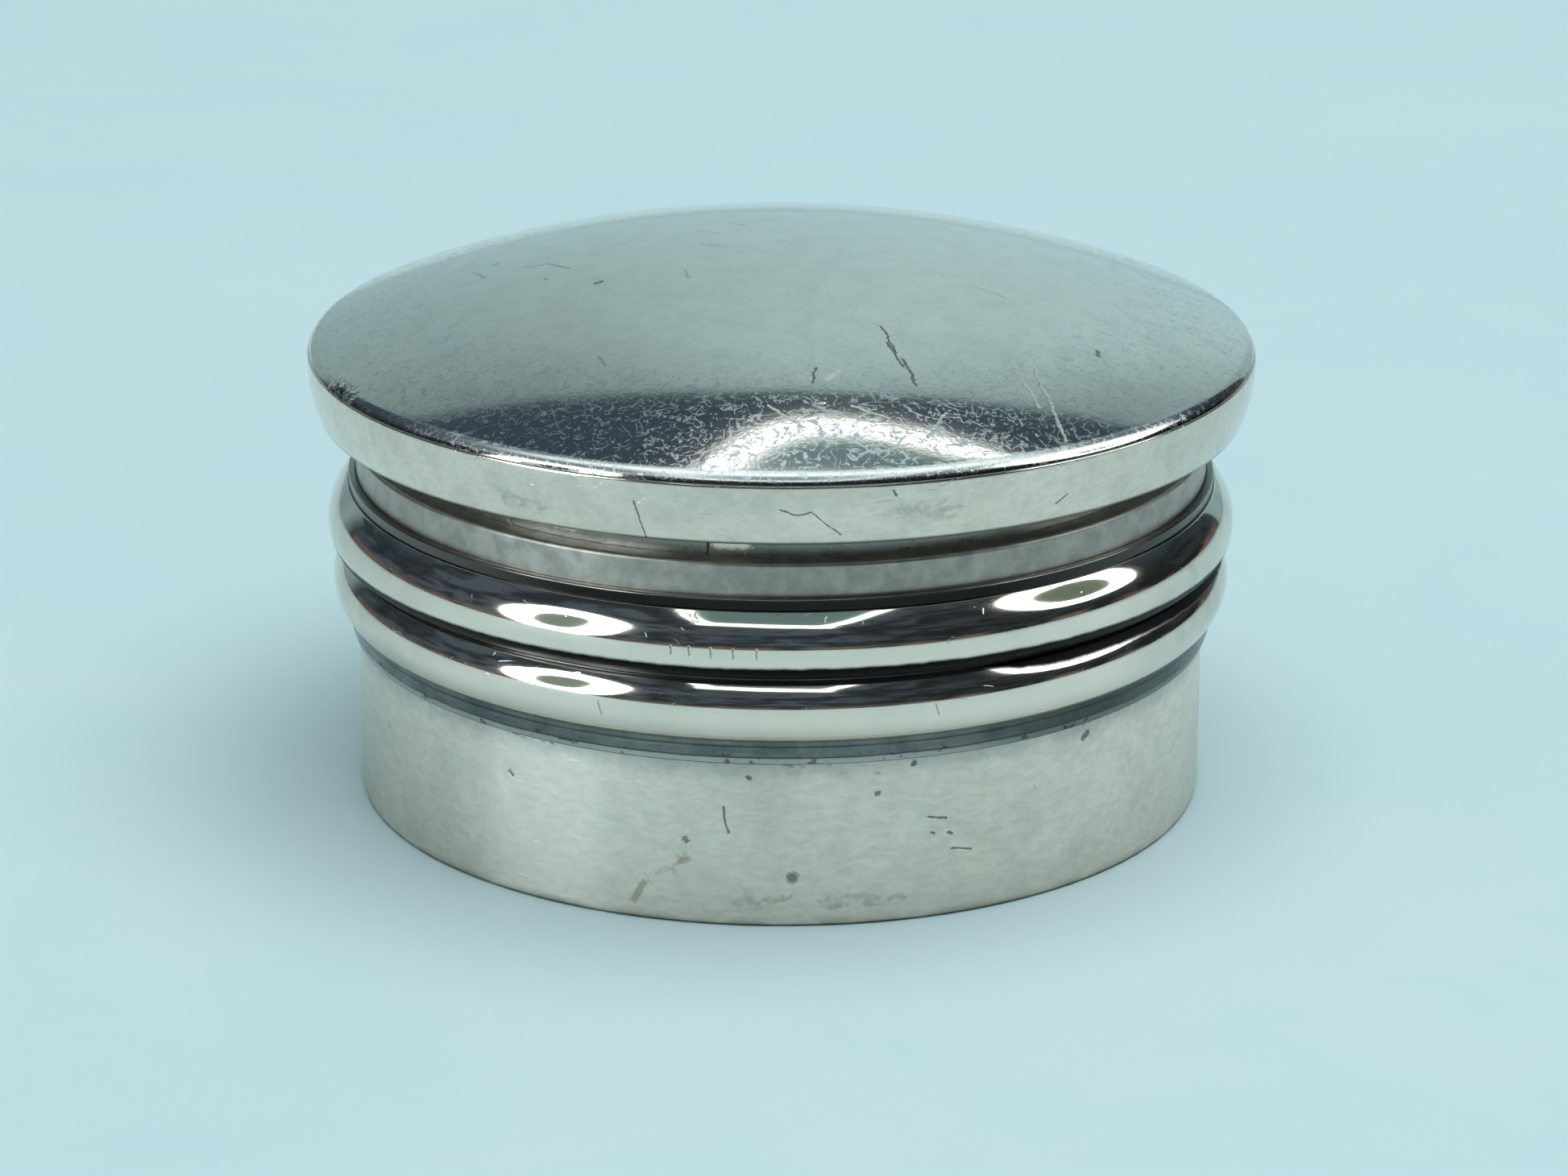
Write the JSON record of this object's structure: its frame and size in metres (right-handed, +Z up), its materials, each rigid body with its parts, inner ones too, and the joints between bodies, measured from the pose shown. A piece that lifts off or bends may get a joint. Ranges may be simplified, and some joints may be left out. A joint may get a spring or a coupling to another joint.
{
  "type": "pill box",
  "caption": "Small round silver pill box: straight body with a double-bead moulding, and a domed lid with an overhanging rim that lifts off.",
  "frame": {"origin": "centre of the box's flat bottom, on the surface it stands on", "axes": "+Z up along the box's round axis, the way the lid lifts; +X to the right and -Y towards the front as the box is usually seen"},
  "size_m": [0.032, 0.032, 0.0188],
  "materials": {
    "dome_silver": "polished silver with fine wear scratches",
    "satin_silver": "worn silver, satin, with fine scratches and small pits",
    "polished_silver": "polished silver wire, darkened in its crevices",
    "tarnished_silver": "grey and brown tarnish in the recesses",
    "inner_silver": "dull silver, lightly tarnished"
  },
  "bodies": {
    "box_body": {"base_plate": "satin_silver", "body_tube": "satin_silver", "inner_bezel": "tarnished_silver", "moulding_band": "tarnished_silver", "upper_bead": "polished_silver", "lower_bead": "polished_silver"},
    "lid": {"lid_dome": "dome_silver", "lid_rim": "satin_silver", "lid_under_ring": "inner_silver", "lid_sleeve": "inner_silver", "lid_seat_ring": "inner_silver"}
  },
  "joints": [
    {"name": "lid_lift", "type": "slide", "parent": "box_body", "child": "lid", "axis": [0, 0, 1], "range_m": [0, 0.02]}
  ]
}
